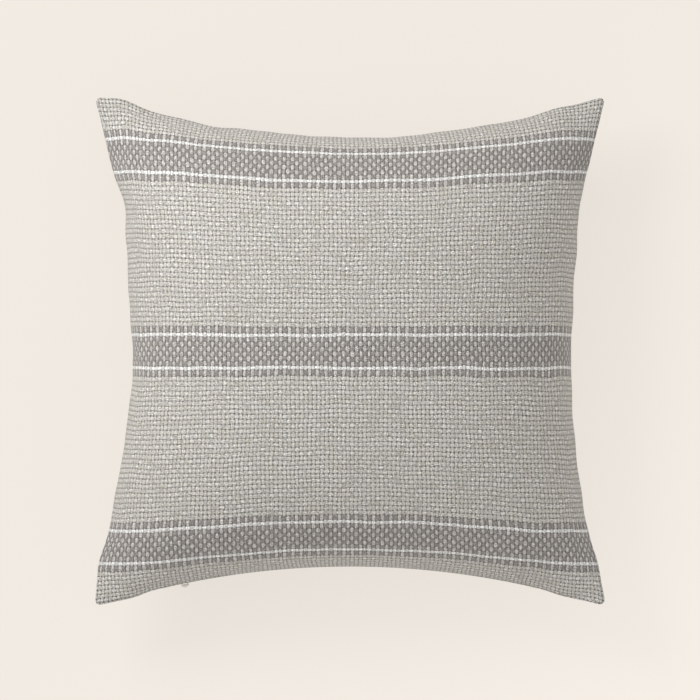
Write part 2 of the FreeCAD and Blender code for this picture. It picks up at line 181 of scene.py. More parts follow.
def buildPlainWeave():
    # threads along and across; thread counts come in, so a pattern can set its own row heights
    g, i, o = newGroup(
        "plainWeave",
        [
            ("Warp Count", floatSocket, 0.0),
            ("Weft Count", floatSocket, 0.0),
            ("Warp Width", floatSocket, 0.86),
            ("Weft Width", floatSocket, 0.92),
            ("Unevenness", floatSocket, 0.12),
        ],
        [
            ("Height", floatSocket),
            ("Weft On Top", floatSocket),
            ("Gap", floatSocket),
            ("Warp Shade", floatSocket),
            ("Weft Shade", floatSocket),
            ("Cell Shade", floatSocket),
            ("Fibre", floatSocket),
        ],
    )
    wander = g.noise(g.point(i["Warp Count"], i["Weft Count"]), 0.55, 3.0)
    wander = g.centred(wander, i["Unevenness"])
    warp = g.math("ADD", i["Warp Count"], g.math("MULTIPLY", wander, 1.6))
    weft = g.math("ADD", i["Weft Count"], wander)
    warpNumber, weftNumber = g.math("FLOOR", warp), g.math("FLOOR", weft)
    u = g.math("SUBTRACT", g.math("SUBTRACT", warp, warpNumber), 0.5)
    v = g.math("SUBTRACT", g.math("SUBTRACT", weft, weftNumber), 0.5)

    def swing(along, crossed):
        # 1 where a thread is on top and -1 where it is under, in turn with the threads it crosses
        steps = g.math("ADD", g.math("SUBTRACT", along, 0.5), crossed)
        return g.math("COSINE", g.math("MULTIPLY", math.pi, steps))

    def strandNoise(x, xScale, y, yScale, layer=0.0, detail=2.0, roughness=0.5):
        place = g.point(g.math("MULTIPLY", x, xScale), g.math("MULTIPLY", y, yScale), layer)
        return g.noise(place, 1.0, detail, roughness)

    weftSwing = swing(warp, weftNumber)
    warpSwing = g.math("MULTIPLY", swing(weft, warpNumber), -1.0)
    warpSlub = strandNoise(warpNumber, 7.31, weft, 0.35)
    weftSlub = strandNoise(warp, 0.3, weftNumber, 5.77, layer=9.0)

    def threadTop(offset, width, slub, swing):
        # a round thread that rises and dips, its width varied along it
        wide = g.math("MULTIPLY", g.math("MULTIPLY", width, 0.5), g.ramp(slub, 0.25, 0.75, 0.86, 1.12))
        side = g.math("POWER", g.math("ABSOLUTE", g.math("DIVIDE", offset, wide)), 2.4)
        roundness = g.math("POWER", g.math("MAXIMUM", g.math("SUBTRACT", 1.0, side), 0.0), 0.5)
        return g.math("MULTIPLY", roundness, g.ramp(swing, -1.0, 1.0, 0.12, 1.1))

    weftTop = threadTop(v, i["Weft Width"], weftSlub, weftSwing)
    warpTop = threadTop(u, i["Warp Width"], warpSlub, warpSwing)
    height = g.math("MAXIMUM", weftTop, warpTop)
    onTop = g.ramp(g.math("SUBTRACT", weftTop, warpTop), -0.06, 0.06)
    weftFibre = strandNoise(warp, 1.7, weft, 5.5, detail=3.0, roughness=0.75)
    warpFibre = strandNoise(warp, 5.5, weft, 1.9, layer=5.0, detail=3.0, roughness=0.75)
    underneath = g.math("SUBTRACT", 1.0, onTop)
    fibre = g.math("ADD", g.math("MULTIPLY", weftFibre, onTop), g.math("MULTIPLY", warpFibre, underneath))
    fuzz = strandNoise(i["Warp Count"], 3.6, i["Weft Count"], 4.6, layer=12.0, detail=1.0)
    fibre = g.math("ADD", fibre, g.centred(fuzz, 1.7))
    g.put(o["Height"], height)
    g.put(o["Weft On Top"], onTop)
    g.put(o["Gap"], g.ramp(height, 0.25, 0.8, 1.0, 0.0, smooth=True))
    g.put(o["Warp Shade"], warpSlub)
    g.put(o["Weft Shade"], weftSlub)
    g.put(o["Cell Shade"], g.speckle(warpNumber, weftNumber))
    g.put(o["Fibre"], fibre)
    return g.tree


def buildStripeRows():
    # counts weft rows away from the middle of the nearest stripe: dots, a fine line, a border, then ground
    g, i, o = newGroup(
        "stripeRows",
        [
            ("Across", floatSocket, 0.0),
            ("Repeat", floatSocket, 0.1722),
            ("Dots", floatSocket, 0.0129),
            ("Line", floatSocket, 0.0165),
            ("Border", floatSocket, 0.0219),
            ("Ground Rows", floatSocket, 15.0),
        ],
        [(label, floatSocket) for label in ("Row", "In Dots", "In Line", "In Border")],
    )
    number = g.math("ROUND", g.math("DIVIDE", i["Across"], i["Repeat"]))
    offset = g.math("SUBTRACT", i["Across"], g.math("MULTIPLY", number, i["Repeat"]))
    away = g.math("ABSOLUTE", offset)
    half = g.math("MULTIPLY", i["Repeat"], 0.5)
    row = g.ramp(away, 0.0, i["Dots"], 0.0, 3.0)
    bands = (
        (i["Dots"], i["Line"], 1.0),
        (i["Line"], i["Border"], 1.0),
        (i["Border"], half, i["Ground Rows"]),
    )
    for low, high, count in bands:
        row = g.math("ADD", row, g.ramp(away, low, high, 0.0, count))
    # five rows of stripe on either side of its middle, then the ground
    period = g.math("MULTIPLY", 2.0, g.math("ADD", i["Ground Rows"], 5.0))
    signed = g.math("MULTIPLY", row, g.math("SIGN", offset))
    g.put(o["Row"], g.math("ADD", signed, g.math("MULTIPLY", number, period)))
    inDots = g.math("LESS_THAN", away, i["Dots"])
    toLine = g.math("LESS_THAN", away, i["Line"])
    toBorder = g.math("LESS_THAN", away, i["Border"])
    g.put(o["In Dots"], inDots)
    g.put(o["In Line"], g.math("SUBTRACT", toLine, inDots))
    g.put(o["In Border"], g.math("SUBTRACT", toBorder, toLine))
    return g.tree


def buildSurfaceWear():
    # scuffs and specks for painted and moulded parts, with soft handling dust
    g, i, o = newGroup(
        "surfaceWear",
        [("Position", vectorSocket, None), ("Scale", floatSocket, 400.0), ("Amount", floatSocket, 0.3)],
        [("Scuff", floatSocket), ("Cloudiness", floatSocket), ("Grain", floatSocket)],
    )
    fine = g.noise(i["Position"], g.math("MULTIPLY", i["Scale"], 4.0), 4.0, 0.7)
    broad = g.noise(i["Position"], g.math("MULTIPLY", i["Scale"], 0.3), 2.0)
    worn = g.ramp(g.math("ADD", fine, g.math("MULTIPLY", broad, 0.6)), 0.92, 1.08)
    g.put(o["Scuff"], g.math("MULTIPLY", worn, i["Amount"]))
    g.put(o["Cloudiness"], broad)
    g.put(o["Grain"], fine)
    return g.tree


plainWeave, stripeRows, surfaceWear = buildPlainWeave(), buildStripeRows(), buildSurfaceWear()
print("node groups ready")

coverCloth = {
    "warpPitch": 0.0036,
    "linenWeft": (0.555, 0.539, 0.516),
    "linenWarp": (0.47, 0.456, 0.433),
    "warmSlub": (0.437, 0.413, 0.348),
    "coolSlub": (0.405, 0.401, 0.393),
    "taupeWeft": (0.23, 0.212, 0.2),
    "dotWarp": (0.45, 0.437, 0.425),
    "whiteLine": (0.74, 0.732, 0.724),
    "gapShade": 0.72,
    "bumpDepth": 0.0009,
    "sway": 0.005,  # how far the threads wander off straight
    "swayScale": 24.0,
    "patchScale": 130.0,
}


def buildCoverCloth(name):
    c = coverCloth
    material, g, shader = newMaterial(name, roughness=0.88, sheen=0.12)
    flat = g.add("ShaderNodeUVMap", settings={"uv_map": "flat"})
    x, y, _ = g.split(flat)

    def swayed(distance, layer):
        drift = g.noise(g.point(x, y, layer), c["swayScale"], 3.0)
        return g.math("ADD", distance, g.centred(drift, c["sway"]))

    rows = placeGroup(g, stripeRows, Across=swayed(y, 0.0))
    inStripe = g.math("ADD", rows["In Dots"], g.math("ADD", rows["In Line"], rows["In Border"]), clamp=True)
    stripeWeft = g.math("ADD", 0.9, g.math("MULTIPLY", inStripe, 0.16))
    weave = placeGroup(
        g,
        plainWeave,
        Warp_Count=g.math("DIVIDE", swayed(x, 3.0), c["warpPitch"]),
        Weft_Count=rows["Row"],
        Weft_Width=g.math("SUBTRACT", stripeWeft, g.math("MULTIPLY", rows["In Line"], 0.18)),
        Warp_Width=g.math("SUBTRACT", 0.92, g.math("MULTIPLY", inStripe, 0.04)),
        Unevenness=0.2,
    )
    slub = g.ramp(weave["Weft Shade"], 0.3, 0.7)
    weft = g.blend(g.ramp(slub, 0.55, 1.0, 0.0, 0.6), c["linenWeft"], c["warmSlub"])
    weft = g.blend(g.ramp(slub, 0.45, 0.0, 0.0, 0.35), weft, c["coolSlub"])
    weft = g.blend(inStripe, weft, c["taupeWeft"])
    weft = g.blend(rows["In Line"], weft, c["whiteLine"])
    warp = g.blend(g.ramp(weave["Warp Shade"], 0.35, 0.75, 0.0, 0.6), c["linenWarp"], c["coolSlub"])
    warp = g.blend(inStripe, warp, c["dotWarp"])
    warp = g.blend(g.math("MULTIPLY", rows["In Line"], 0.45), warp, c["whiteLine"])
    colour = g.blend(weave["Weft On Top"], warp, weft)
    patches = g.noise(g.point(g.math("MULTIPLY", x, 0.5), y, 6.0), c["patchScale"], 4.0, 0.6)
    patchStrength = g.math("SUBTRACT", 0.4, g.math("MULTIPLY", inStripe, 0.3))
    patches = g.math("MULTIPLY", g.ramp(patches, 0.3, 0.7), patchStrength)
    colour = g.blend(patches, colour, c["warmSlub"])
    cellShade = g.ramp(weave["Cell Shade"], 0.0, 1.0, 0.9, 1.08)
    shade = g.math("MULTIPLY", cellShade, g.ramp(weave["Fibre"], 0.1, 0.9, 0.33, 1.86))
    shade = g.math("MULTIPLY", shade, g.ramp(weave["Weft Shade"], 0.25, 0.75, 1.12, 0.92))
    # painted shade in the gaps between threads, a little deeper or lighter from cell to cell
    gapShadeDepth = g.ramp(weave["Cell Shade"], 0.0, 1.0, c["gapShade"] * 0.7, c["gapShade"] * 1.3)
    gap = g.math("MULTIPLY", weave["Gap"], gapShadeDepth)
    shade = g.math("MULTIPLY", shade, g.math("SUBTRACT", 1.0, gap))
    grey = g.add("ShaderNodeCombineColor", Red=shade, Green=shade, Blue=shade)
    colour = g.blend(1.0, colour, grey, "MULTIPLY")
    g.put(shader["Base Color"], colour)
    g.put(shader["Roughness"], g.ramp(weave["Fibre"], 0.2, 0.8, 0.8, 0.96))
    height = g.math("ADD", weave["Height"], g.math("MULTIPLY", weave["Fibre"], 0.18))
    addBump(g, shader, height, 0.9, c["bumpDepth"])
    return material


def buildFineCloth(name, colour, pitch, sheen=0.1, axes=("X", "Z"), depth=0.0001, contrast=0.3):
    # a finely woven cloth on object coordinates, for tapes, labels and the insert's casing
    material, g, shader = newMaterial(name, roughness=0.85, sheen=sheen)
    place = g.objectPlace()
    split = g.split(place)
    weave = placeGroup(
        g,
        plainWeave,
        Warp_Count=g.math("DIVIDE", split[axes[0]], pitch),
        Weft_Count=g.math("DIVIDE", split[axes[1]], pitch),
        Unevenness=0.06,
    )
    dark = tuple(channel * (1 - contrast) for channel in colour)
    mottle = g.noise(place, 60.0, 3.0)
    # painted shade: half as bright in the gaps between threads
    base = g.blend(weave["Gap"], colour, tuple(channel * 0.5 for channel in colour))
    base = g.blend(g.ramp(weave["Fibre"], 0.3, 0.8, 0.0, 0.6), base, dark)
    base = g.blend(g.ramp(mottle, 0.4, 0.8, 0.0, 0.25), base, dark)
    g.put(shader["Base Color"], base)
    g.put(shader["Roughness"], g.ramp(weave["Fibre"], 0.2, 0.8, 0.75, 0.95))
    addBump(g, shader, weave["Height"], 0.8, depth)
    return material


def buildFibre(name, colour):
    # loose crimped fibre: tangled strands at two sizes
    material, g, shader = newMaterial(name, roughness=0.95, sheen=0.3)
    place = g.objectPlace()
    bend = g.add("ShaderNodeTexNoise", out="Color", Vector=place, Scale=60.0)
    bend = g.add("ShaderNodeVectorMath", settings={"operation": "SCALE"}, Vector=bend, Scale=0.03)
    between = {"feature": "DISTANCE_TO_EDGE"}
    strands = g.add("ShaderNodeTexVoronoi", settings=between, Vector=g.shift(place, bend), Scale=420.0)
    strand = g.ramp(strands, 0.0, 0.12, 1.0, 0.0)
    clump = g.noise(place, 45.0, 5.0, 0.65)
    # painted shade: darker where the clumps dip, on the same noise as the bump
    g.put(shader["Base Color"], g.blend(g.ramp(clump, 0.35, 0.65), tuple(c * 0.72 for c in colour), colour))
    g.put(shader["Roughness"], g.ramp(clump, 0.3, 0.7, 0.85, 1.0))
    addBump(g, shader, g.math("ADD", g.math("MULTIPLY", strand, 0.2), clump), 1.0, 0.004)
    return material


def buildThread(name, colour, twist=2600.0):
    # spun thread: a fine twist and a slightly uneven dye
    material, g, shader = newMaterial(name, roughness=0.7, sheen=0.1)
    place = g.objectPlace()
    slant = {"bands_direction": "DIAGONAL"}
    ply = g.add("ShaderNodeTexWave", out="Fac", settings=slant, Vector=place, Scale=twist, Distortion=1.0)
    mottle = g.noise(place, 700.0, 2.0)
    base = g.blend(g.ramp(ply, 0.2, 0.8, 0.0, 0.45), colour, tuple(c * 0.55 for c in colour))
    base = g.blend(g.ramp(mottle, 0.35, 0.7, 0.0, 0.3), base, tuple(c * 0.75 for c in colour))
    g.put(shader["Base Color"], base)
    g.put(shader["Roughness"], g.ramp(mottle, 0.2, 0.8, 0.6, 0.85))
    addBump(g, shader, ply, 0.6, 0.00008)
    return material


def buildHard(name, colour, worn, roughness, metallic, wornMetallic, scale, amount):
    # painted metal or nylon with worn high spots
    material, g, shader = newMaterial(name, roughness=roughness, metallic=metallic)
    place = g.objectPlace()
    wear = placeGroup(g, surfaceWear, Position=place, Scale=scale, Amount=amount)
    base = g.blend(g.ramp(wear["Cloudiness"], 0.3, 0.7, 0.0, 0.35), colour, tuple(c * 0.8 for c in colour))
    g.put(shader["Base Color"], g.blend(wear["Scuff"], base, worn))
    g.put(shader["Metallic"], g.ramp(wear["Scuff"], 0.0, 1.0, metallic, wornMetallic))
    g.put(shader["Roughness"], g.ramp(wear["Grain"], 0.3, 0.7, roughness - 0.08, roughness + 0.12))
    addBump(g, shader, wear["Grain"], 0.25, 0.00005)
    return material


materials = {
    "cover": buildCoverCloth("coverCloth"),
    "tape": buildFineCloth("zipperTapeCloth", (0.66, 0.63, 0.58), 0.0007),
    "casing": buildFineCloth("insertCasingCloth", (0.8, 0.79, 0.77), 0.0009, axes=("X", "Y"), contrast=0.12),
    "label": buildFineCloth(
        "labelSatin", (0.8, 0.79, 0.77), 0.0005, sheen=0.3, axes=("X", "Y"), contrast=0.1
    ),
    "fill": buildFibre("polyesterFibre", (0.88, 0.88, 0.86)),
    "thread": buildThread("coverThread", (0.6, 0.57, 0.52)),
    "casingThread": buildThread("casingThread", (0.8, 0.8, 0.78)),
    "coil": buildHard(
        "nylonCoil",
        colour=(0.7, 0.67, 0.61),
        worn=(0.78, 0.75, 0.7),
        roughness=0.42,
        metallic=0.0,
        wornMetallic=0.0,
        scale=700.0,
        amount=0.3,
    ),
    "metal": buildHard(
        "paintedZinc",
        colour=(0.72, 0.68, 0.62),
        worn=(0.7, 0.69, 0.66),
        roughness=0.38,
        metallic=0.1,
        wornMetallic=0.95,
        scale=500.0,
        amount=0.35,
    ),
}
print("materials ready")

pillow = {
    "halfWidth": 0.2225,
    "halfHeight": 0.222,
    "sideBow": 0.031,
    "endBow": 0.035,
    "fullness": 0.42,
    "roundness": 0.6,
    "frontCrown": 0.086,
    "backCrown": 0.084,
    "seamLevel": 0.076,
    "flatHalf": 0.2258,  # half of the cloth's sewn size before it is filled
    "acrossSpread": (0.21, 0.36),
    "alongSpread": (0.24, 0.39),
    "cornerRadius": 0.032,  # of the half size
    "cells": 112,
    "simFrames": 26,
    "pressure": 80.0,
    "mostMove": 0.014,
    # places where the seam stands out or dips: side, place along it, reach, amount
    "seamBumps": [
        ("left", 0.13, 0.016, -0.003),
        ("left", 0.112, 0.04, -0.0035),
        ("left", -0.012, 0.03, -0.004),
        ("left", -0.125, 0.03, 0.003),
        ("left", -0.182, 0.026, 0.0055),
        ("right", 0.13, 0.03, -0.001),
        ("right", 0.083, 0.014, 0.0015),
        ("right", 0.035, 0.02, 0.0015),
        ("right", -0.185, 0.022, 0.0025),
        ("top", -0.196, 0.016, 0.0045),
        ("top", -0.117, 0.018, -0.002),
        ("top", 0.03, 0.04, -0.0022),
        ("top", 0.178, 0.016, 0.002),
        ("bottom", -0.19, 0.014, 0.002),
        ("bottom", 0.185, 0.018, 0.002),
    ],
}
zipper = {
    "openingEnd": 0.1562,
    "clear": (0.004, 0.03),  # past the opening, where the seam goes back to its own line
    "slitHalf": 0.0011,
    "lip": 0.0027,
    "pocketHalf": 0.0035,
    "hemDepth": 0.00505,
    "hemTurn": 0.00435,
    "hemEnd": (0.01071, 0.01001),
}
ripples = {
    "fine": (0.0009, 45),  # depth, and how many to the metre
    "broad": (0.0011, 17),
    "lift": (0.0035, 11),
    "fade": 7,  # the power that they grow by, out from the middle
}
puckers = {
    "depth": 0.0026,
    "inward": 0.2,
    "start": 0.006,
    "reach": 0.02,
    "broad": (38, 9),  # how many to the metre, along the seam and in from it
    "fine": (85, 14),
    "fineShare": 0.4,
    "innerShare": 0.6,
}


def roundedCorner(u, v):
    # eases the four corners of the square into small arcs
    r = pillow["cornerRadius"]
    a, b = (abs(u) - 1 + r) / r, (abs(v) - 1 + r) / r
    if a <= 0 or b <= 0:
        return u, v
    a, b = a * math.sqrt(1 - b * b / 2), b * math.sqrt(1 - a * a / 2)
    return math.copysign(1 - r + r * a, u), math.copysign(1 - r + r * b, v)


def domePoint(u, v, up, gaps=noGaps):
    # the filled shape; gaps are side, corner, crown and rim, for the layers inside
    sideGap, cornerGap, crownGap, rim = gaps
    p = pillow
    k = p["roundness"]
    rise = (1 - k * u * u - (1 - k) * u**4) * (1 - k * v * v - (1 - k) * v**4)
    u, v = roundedCorner(u, v)
    halfX, halfY = p["halfWidth"] - cornerGap, p["halfHeight"] - cornerGap
    bowX, bowY = p["sideBow"] - cornerGap + sideGap, p["endBow"] - cornerGap + sideGap
    midX, midY = halfX - bowX, halfY - bowY
    x = u * (midX + bowX * v * v) + p["fullness"] * midX * (u - u**3) * (1 - v**4)
    y = v * (midY + bowY * u * u) + p["fullness"] * midY * (v - v**3) * (1 - u**4)
    crown = (p["frontCrown"] if up > 0 else p["backCrown"]) - crownGap - rim
    return Vector((x, y, p["seamLevel"] + up * (rim + crown * rise)))


def offZipper(u, v):
    # 0 along the zipper, 1 elsewhere
    if v >= -0.9:
        return 1.0
    near, far = (zipper["openingEnd"] + gap for gap in zipper["clear"])
    return smoothStep(near, far, abs(u) * pillow["halfWidth"])


def seamShift(u, v):
    # how far the seam stands off its even curve, outward, and how far it lifts
    x, y = u * pillow["halfWidth"], v * pillow["halfHeight"]
    out = Vector((0, 0, 0))
    for side, place, reach, amount in pillow["seamBumps"]:
        upright = side in ("left", "right")
        sign = 1 if side in ("right", "top") else -1
        near = sign * (u if upright else v)
        along = y if upright else x
        if near > 0:
            push = amount * math.exp(-(((along - place) / reach) ** 2)) * smoothStep(0.72, 1.0, near)
            out += Vector((sign * push, 0, 0)) if upright else Vector((0, sign * push, 0))
    rim = smoothStep(0.8, 1.0, max(abs(u), abs(v)))

    def wave(kind, layer):
        depth, scale = ripples[kind]
        return depth * noise.noise(Vector((x * scale, y * scale, layer)))

    ripple = wave("fine", 3.1) + wave("broad", 8.4)
    fade = ripples["fade"]
    out += Vector((ripple * u * abs(u) ** fade, ripple * v * abs(v) ** fade, 0)) * rim
    out.z = rim * wave("lift", 1.7)
    return out * offZipper(u, v)


def startPoint(u, v, up):
    return domePoint(u, v, up) + seamShift(u, v)


def atEnd(u):
    return abs(u) > 0.9999


def isRim(u, v):
    return atEnd(u) or atEnd(v)


def fromCorner(u, v):
    # how far a point is from the nearest corner, as a share of the half size
    return math.hypot(1 - abs(u), 1 - abs(v))


def flatPlace(u, v):
    # where a point of the filled cover sat in the flat cloth
    a, b = roundedCorner(u, v)
    acrossSpread, alongSpread = pillow["acrossSpread"], pillow["alongSpread"]
    s = a + (a - a**3) * (acrossSpread[0] - acrossSpread[1] * a**4) * (1 - b**4)
    t = b + (b - b**3) * (alongSpread[0] - alongSpread[1] * b**4) * (1 - a**4)
    return s * pillow["flatHalf"], t * pillow["flatHalf"]


def sheetLayers(bm):
    return bm.verts.layers.float["u"], bm.verts.layers.float["v"], bm.loops.layers.uv["flat"]


def buildSquare(bm, cells, up, place):
    # one panel as a grid; u and v are kept on its points, and its cloth is laid out flat in its UV map
    floats, flats = bm.verts.layers.float, bm.loops.layers.uv
    for layers, key in ((floats, "u"), (floats, "v"), (flats, "flat")):
        if layers.get(key) is None:
            layers.new(key)
    uLayer, vLayer, uvLayer = sheetLayers(bm)
    made = bmesh.ops.create_grid(bm, x_segments=cells, y_segments=cells, size=1.0)["verts"]
    faces = list({face for vert in made for face in vert.link_faces})
    for face in faces:
        for loop in face.loops:
            loop[uvLayer].uv = flatPlace(loop.vert.co.x, loop.vert.co.y)
    if up < 0:
        bmesh.ops.reverse_faces(bm, faces=faces)
    for vert in made:
        vert[uLayer], vert[vLayer] = vert.co.x, vert.co.y
        vert.co = place(vert.co.x, vert.co.y, up)
    return faces


def buildClosedForm(cells, place):
    # front and back grids welded round their rims
    bm = bmesh.new()
    side = bm.faces.layers.int.new("side")
    for up in (1, -1):
        for face in buildSquare(bm, cells, up, place):
            face[side] = up
    uLayer, vLayer, _ = sheetLayers(bm)
    rim = [vert for vert in bm.verts if isRim(vert[uLayer], vert[vLayer])]
    bmesh.ops.remove_doubles(bm, verts=rim, dist=1e-5)
    return bm


def gridKey(u, v, up):
    n = pillow["cells"]
    return round((u + 1) / 2 * n), round((v + 1) / 2 * n), up


def simulatePillow():
    # the flat cloth is the rest shape, the dome is the start, and the whole seam is held still
    bm = buildClosedForm(pillow["cells"], startPoint)
    uLayer, vLayer, _ = sheetLayers(bm)
    side = bm.faces.layers.int["side"]
    places = [(vert[uLayer], vert[vLayer], vert.link_faces[0][side]) for vert in bm.verts]
    obj = linkMesh("pillowForm", bm, None, None)
    start = [vert.co.copy() for vert in obj.data.vertices]
    moved = start
    obj.shape_key_add(name="Basis")
    flat = obj.shape_key_add(name="flatCloth")
    seam = obj.vertex_groups.new(name="seam")
    for index, (u, v, up) in enumerate(places):
        lift = 0.0 if isRim(u, v) else 0.0004 * up
        flat.data[index].co = (*flatPlace(u, v), pillow["seamLevel"] + lift)
        if isRim(u, v):
            seam.add([index], 1.0, "REPLACE")
    cloth = obj.modifiers.new("Cloth", "CLOTH")
    s = cloth.settings
    s.quality, s.mass, s.air_damping = 5, 0.0004, 2.0
    s.tension_stiffness = s.compression_stiffness = 12.0
    s.shear_stiffness, s.bending_stiffness = 4.0, 0.02
    s.tension_damping = s.compression_damping = s.shear_damping = 2.0
    s.use_pressure, s.uniform_pressure_force = True, pillow["pressure"]
    s.vertex_group_mass, s.rest_shape_key = "seam", flat
    s.effector_weights.gravity = 0.0
    cloth.collision_settings.use_collision = False
    cloth.point_cache.frame_end = pillow["simFrames"]
    for step in range(1, pillow["simFrames"] + 1):
        view.frame_set(step)
    found = obj.evaluated_get(bpy.context.evaluated_depsgraph_get())
    moved = [vert.co.copy() for vert in found.data.vertices]
    view.frame_set(1)
    shifts = {}
    for (u, v, up), old, new in zip(places, start, moved):
        shift = new - old
        if shift.length > pillow["mostMove"]:
            shift *= pillow["mostMove"] / shift.length
        for half in (1, -1) if isRim(u, v) else (up,):
            shifts[gridKey(u, v, half)] = shift
    bpy.data.objects.remove(obj)
    print("pillow simulated, largest move", round(max(s.length for s in shifts.values()), 4))
    return shifts


shifts = simulatePillow()


def clothShift(u, v, up):
    # the simulated move between the grid's points
    n = pillow["cells"]
    a, b = (u + 1) / 2 * n, (v + 1) / 2 * n
    i, j = min(n - 1, int(a)), min(n - 1, int(b))
    s, t = a - i, b - j
    low = shifts[i, j, up].lerp(shifts[i + 1, j, up], s)
    high = shifts[i, j + 1, up].lerp(shifts[i + 1, j + 1, up], s)
    return low.lerp(high, t)


def pucker(u, v):
    # small folds that run in from the seam and die away
    p = puckers
    x, y = u * pillow["halfWidth"], v * pillow["halfHeight"]
    total = 0.0
    for near, along, across in ((abs(u), y, x), (abs(v), x, y)):
        inward = (1 - near) * p["inward"]
        fade = smoothStep(0.0, p["start"], inward) * math.exp(-inward / p["reach"])
        broad = noise.noise(Vector((along * p["broad"][0], across * p["broad"][1], 4.0)))
        fine = noise.noise(Vector((along * p["fine"][0], across * p["fine"][1], 9.0)))
        total += fade * (broad + p["fineShare"] * fine)
    return p["depth"] * total


def layerPoint(u, v, up, gaps=noGaps, floor=0.0):
    inner = gaps != noGaps
    # the layers inside don't follow the seam's bumps at their rims
    settle = 1 - smoothStep(0.86, 1.0, max(abs(u), abs(v))) if inner else 1.0
    point = domePoint(u, v, up, gaps) + seamShift(u, v) * settle + clothShift(u, v, up)
    if not isRim(u, v):
        point.z += up * pucker(u, v) * (puckers["innerShare"] if inner else 1.0)
    point.z = max(point.z, floor)
    return point


def rimFrame(u, v, gaps):
    # a rim point, and the level direction that leads in from it
    def place(a, b):
        return layerPoint(max(-1, min(1, a)), max(-1, min(1, b)), 1, gaps)

    step = 0.004  # the tangent is taken over this much of the rim, either way
    if atEnd(u) and atEnd(v):
        tangent = place(u, v * (1 - step)) - place(u * (1 - step), v)
    elif atEnd(u):
        tangent = place(u, v + step) - place(u, v - step)
    else:
        tangent = place(u + step, v) - place(u - step, v)
    inward = Vector((-tangent.y, tangent.x, 0)).normalized()
    point = place(u, v)
    if inward.dot(Vector((point.x, point.y, 0))) > 0:
        inward = -inward
    return point, inward


def buildPanel(name, up, cells, gaps, floor, profile, thickness, material, slot):
    # a panel whose edge turns in through the profile's (depth, height) steps, then takes its thickness
    bm = bmesh.new()
    buildSquare(bm, cells, up, lambda u, v, s: layerPoint(u, v, s, gaps, floor))
    uLayer, vLayer, uvLayer = sheetLayers(bm)
    edges = [edge for edge in bm.edges if edge.is_boundary]
    verts = {vert for edge in edges for vert in edge.verts}
    frames = {}
    for vert in verts:
        u, v = vert[uLayer], vert[vLayer]
        frames[round(u, 5), round(v, 5)] = (*rimFrame(u, v, gaps), profile(u, v))
    steps = len(next(iter(frames.values()))[2])
    for step in range(steps):
        if step:
            grown = bmesh.ops.extrude_edge_only(bm, edges=edges)["geom"]
            edges = [item for item in grown if isinstance(item, bmesh.types.BMEdge) and item.is_boundary]
            verts = {vert for edge in edges for vert in edge.verts}
            # the weave carries on over the turned-in cloth, a millimetre to each step
            turned = [item for item in grown if isinstance(item, bmesh.types.BMFace)]
            for face in turned:
                for loop in face.loops:
                    u, v = loop.vert[uLayer], loop.vert[vLayer]
                    a, b = flatPlace(u, v)
                    extra = 0.001 * (step - (0 if loop.vert in verts else 1))
                    loop[uvLayer].uv = (a + extra * u * atEnd(u), b + extra * v * atEnd(v))
        for vert in verts:
            point, inward, path = frames[round(vert[uLayer], 5), round(vert[vLayer], 5)]
            depth, height = path[step]
            vert.co = point + inward * depth + Vector((0, 0, up * height))
    tips = [fromCorner(vert[uLayer], vert[vLayer]) * pillow["halfWidth"] for vert in bm.verts]
    obj = linkMesh(name, bm, material, slot)
    # the corners have no room for the full thickness
    room = obj.vertex_groups.new(name="room")
    for index, tip in enumerate(tips):
        room.add([index], smoothStep(-0.01, 0.05, tip), "REPLACE")
    wall = obj.modifiers.new("Thickness", "SOLIDIFY")
    wall.thickness, wall.offset, wall.vertex_group = thickness, -1.0, "room"
    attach(obj, "pillow")
    return obj


def cornerReach(u, v, full):
    # the allowances get shorter where the corner leaves them no room
    return max(0.1, smoothStep(-0.004, full, fromCorner(u, v) * pillow["halfHeight"]))


def coverProfile(u, v):
    # the sewn edge, or the zipper's folded lip and hem, as (depth, height) from the outside in
    low = 0.00006  # half the gap between the two allowances
    sewn = [(0, 0.0005), (0.0003, 0.0002)]
    sewn += [(depth / 1000, low) for depth in (1, 2.4, 3.4, 4.4, 5.4, 6.4, 7.2)]
    z = zipper
    h, turn, end = z["slitHalf"], (z["hemDepth"], z["hemTurn"]), z["hemEnd"]
    opened = [
        (0, h + 0.0006),
        (0.00025, h + 0.00015),
        (0.0007, h),
        (z["lip"], h),
        (z["lip"] + 0.00002, z["pocketHalf"]),
        (z["hemDepth"] - 0.0001, z["pocketHalf"]),
        turn,
        ((turn[0] + end[0]) / 2, (turn[1] + end[1]) / 2),
        end,
    ]
    lip = hem = 0.0
    if v < -0.9999:
        # the hem runs on a little past the end of the slit
        past = abs(u) * pillow["halfWidth"] - z["openingEnd"]
        lip, hem = 1 - smoothStep(-0.001, 0.002, past), 1 - smoothStep(0.0027, 0.0062, past)
    reach = cornerReach(u, v, 0.035)
    weights = [lip] * 3 + [hem] * (len(sewn) - 3)
    return [(mix(a[0] * reach, b[0], w), mix(a[1], b[1], w)) for a, b, w in zip(sewn, opened, weights)]


def casingProfile(u, v):
    reach = cornerReach(u, v, 0.025)
    steps = ((0, 0.00025), (0.0003, 0.00008), (0.001, 0.00004), (0.003, 0.00004), (0.005, 0.00004))
    return [(depth * reach, height) for depth, height in steps]


# each cloth's distances inside the cover, the lowest that it reaches, and its thickness
coverSheet = {
    "cells": pillow["cells"],
    "gaps": noGaps,
    "floor": 0.0003,
    "profile": coverProfile,
    "thickness": 0.0008,
    "material": materials["cover"],
    "slot": "cover_cloth",
}
casingSheet = {
    "cells": 56,
    "gaps": (0.012, 0.027, 0.0018, 0.0004),
    "floor": 0.0014,
    "profile": casingProfile,
    "thickness": 0.0004,
    "material": materials["casing"],
    "slot": "casing",
}
for up, name in ((1, "front"), (-1, "back")):
    panel = buildPanel("cover_" + name, up, **coverSheet)
    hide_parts("cover_" + name + "_panel")
    casing = buildPanel("casing_" + name, up, **casingSheet)
    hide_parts("insert_" + name + "_casing")
print("cover and casing ready")

